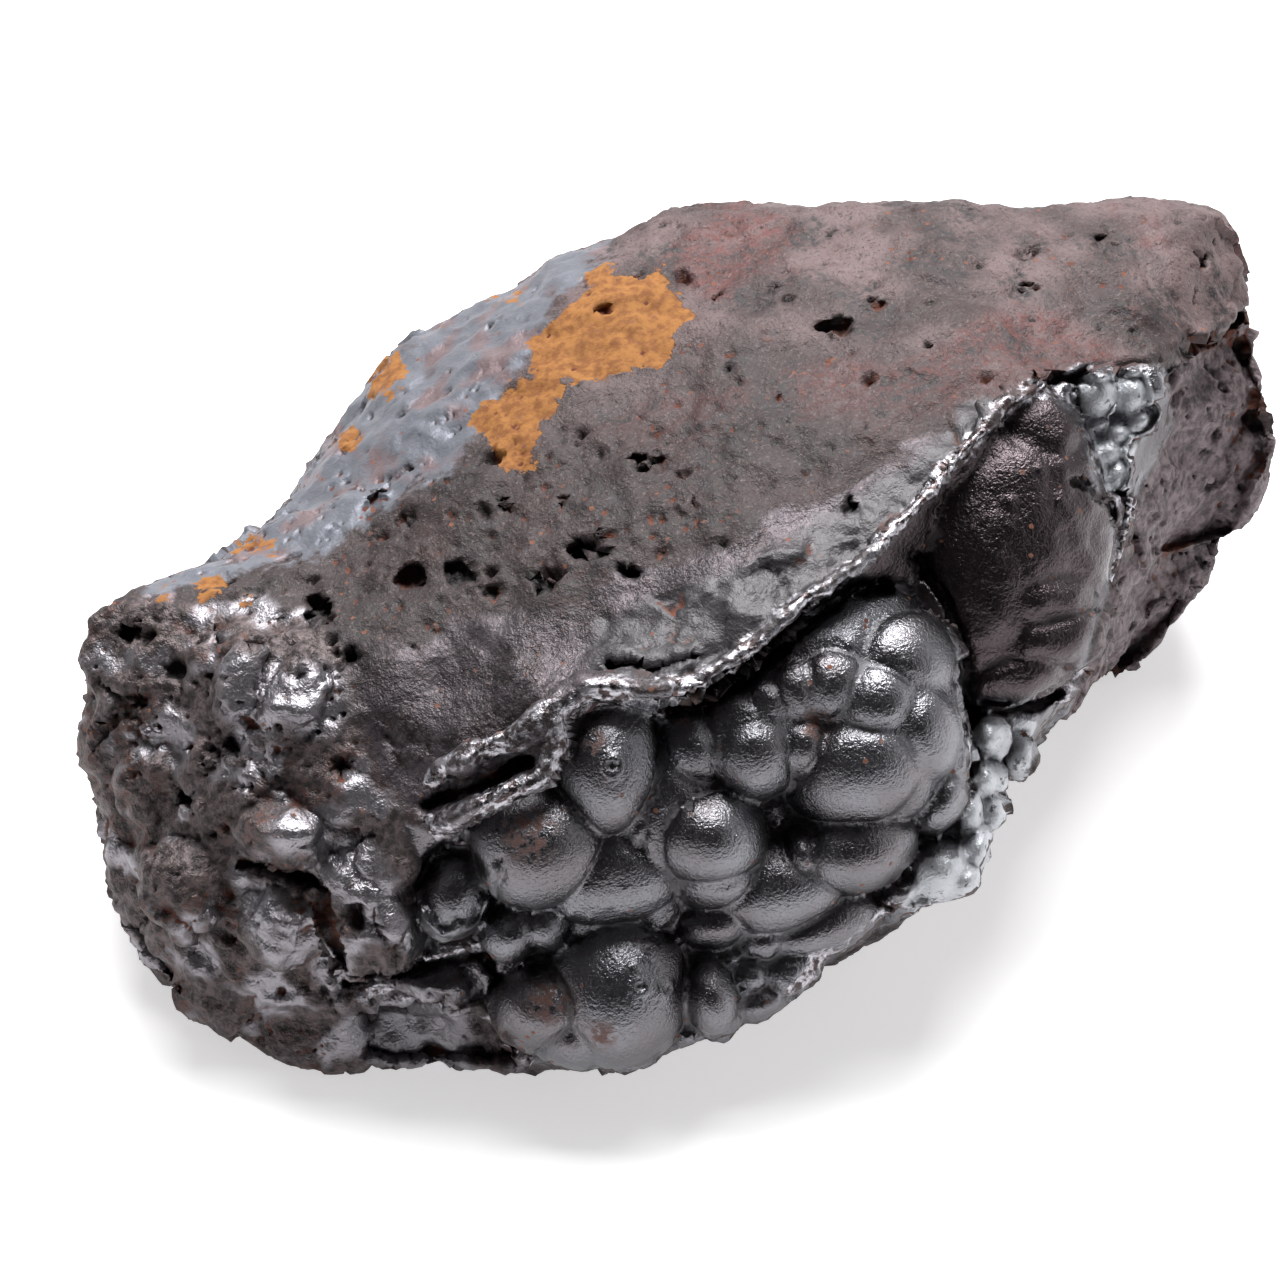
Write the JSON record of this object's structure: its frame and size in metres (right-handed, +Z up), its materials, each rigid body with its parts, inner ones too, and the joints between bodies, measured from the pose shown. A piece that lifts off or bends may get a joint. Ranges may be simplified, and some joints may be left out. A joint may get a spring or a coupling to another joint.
{
  "type": "botryoidal hematite specimen",
  "caption": "Rough block of iron ore with a hollow full of kidney-shaped metallic bulbs along one side, resting on a flat foot.",
  "frame": {"origin": "bottom centre of the box, on the plane that the specimen rests on", "axes": "+Z up from the flat foot, +X along the specimen's long axis, the botryoidal face towards -Y"},
  "size_m": [0.1086, 0.0734, 0.0437],
  "materials": {
    "hematite": "dark grey, metallic lustre on the bulbs, dull purple-brown rock with a rusty patch on top"
  },
  "bodies": {
    "root": {"hematite": "hematite"}
  },
  "joints": []
}
